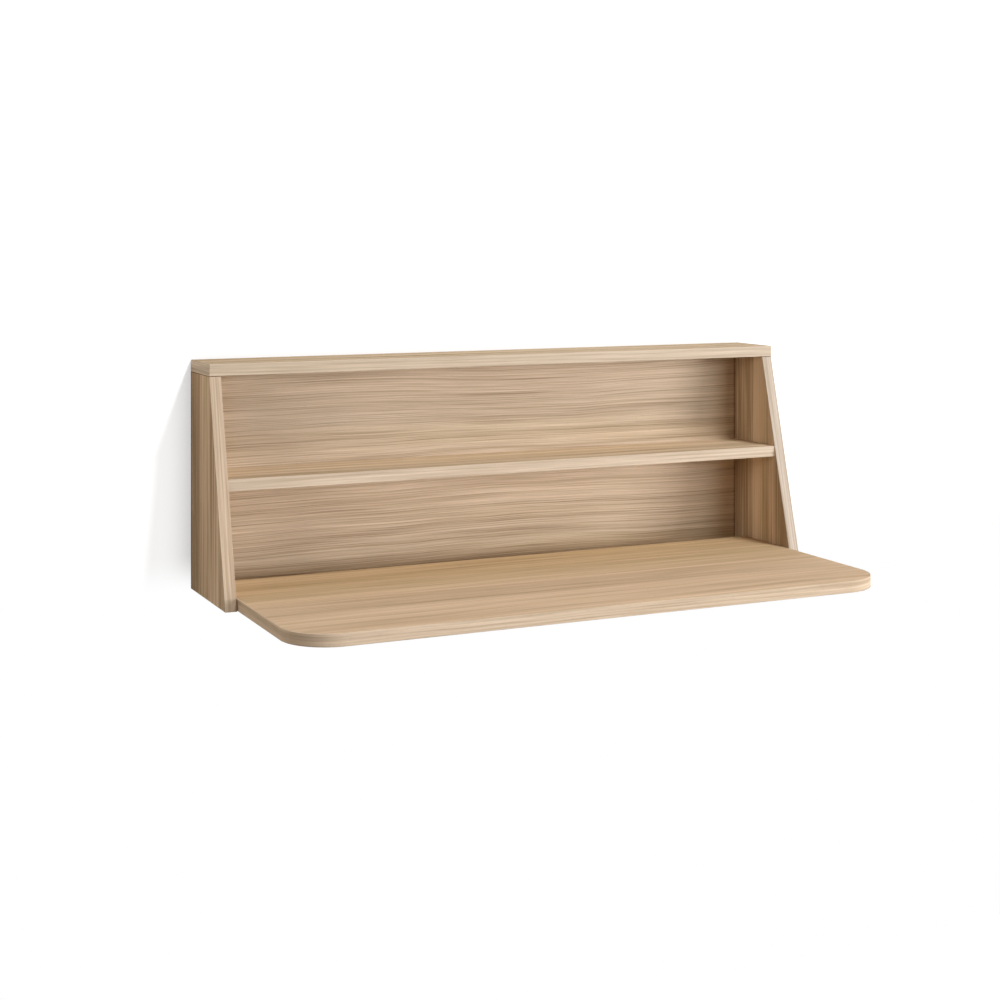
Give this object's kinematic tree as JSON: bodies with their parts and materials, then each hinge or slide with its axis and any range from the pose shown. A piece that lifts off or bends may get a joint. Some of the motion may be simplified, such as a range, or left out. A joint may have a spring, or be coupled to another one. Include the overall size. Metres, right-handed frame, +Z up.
{
  "type": "fold-down wall desk",
  "caption": "Shallow wall-hung cabinet with slanted sides and a mid shelf, and a round-cornered leaf pivoted between the sides that folds down into a desk top.",
  "frame": {"origin": "on the wall plane, the rear face of the back panel, at the middle of the cabinet's width and height, which is also the middle of the keyhole pattern", "axes": "+X right as seen from the front, +Y into the wall, +Z up; the open leaf reaches out along -Y"},
  "size_m": [1, 0.458, 0.355],
  "materials": {
    "oak_board": "matt oak-grain laminate on chipboard",
    "oak_edging": "matt oak-grain edge band",
    "zinc_plated_steel": "bright zinc plate",
    "nylon": "moulded",
    "sleeve_rubber": "matt",
    "beech": "raw"
  },
  "bodies": {
    "carcass": {"top_panel": "oak_board", "left_side_panel": "oak_board", "right_side_panel": "oak_board", "back_panel": "oak_board", "shelf": "oak_board", "top_front_band": "oak_edging", "top_left_band": "oak_edging", "top_right_band": "oak_edging", "left_side_front_band": "oak_edging", "left_side_bottom_band": "oak_edging", "right_side_front_band": "oak_edging", "right_side_bottom_band": "oak_edging", "back_bottom_band": "oak_edging", "shelf_front_band": "oak_edging", "left_pivot_bush": "nylon", "right_pivot_bush": "nylon", "left_stop_seat": "nylon", "right_stop_seat": "nylon", "top_dowels": "beech", "shelf_dowels": "beech", "back_dowels": "beech", "cam_locks": "zinc_plated_steel", "cam_bolts": "zinc_plated_steel", "shelf_screws": "zinc_plated_steel", "hanger_plates": "zinc_plated_steel", "hanger_screws": "zinc_plated_steel"},
    "leaf": {"desk_leaf": "oak_board", "leaf_edge_band": "oak_edging", "leaf_rear_band": "oak_edging", "left_pivot_pin": "zinc_plated_steel", "right_pivot_pin": "zinc_plated_steel", "left_stop_pin": "zinc_plated_steel", "right_stop_pin": "zinc_plated_steel", "left_stop_sleeve": "sleeve_rubber", "right_stop_sleeve": "sleeve_rubber"}
  },
  "joints": [
    {"name": "leaf_fold", "type": "hinge", "parent": "carcass", "child": "leaf", "pos_m": [0, -0.172, -0.1685], "axis": [-1, 0, 0], "range_deg": [0, 96.8]}
  ]
}
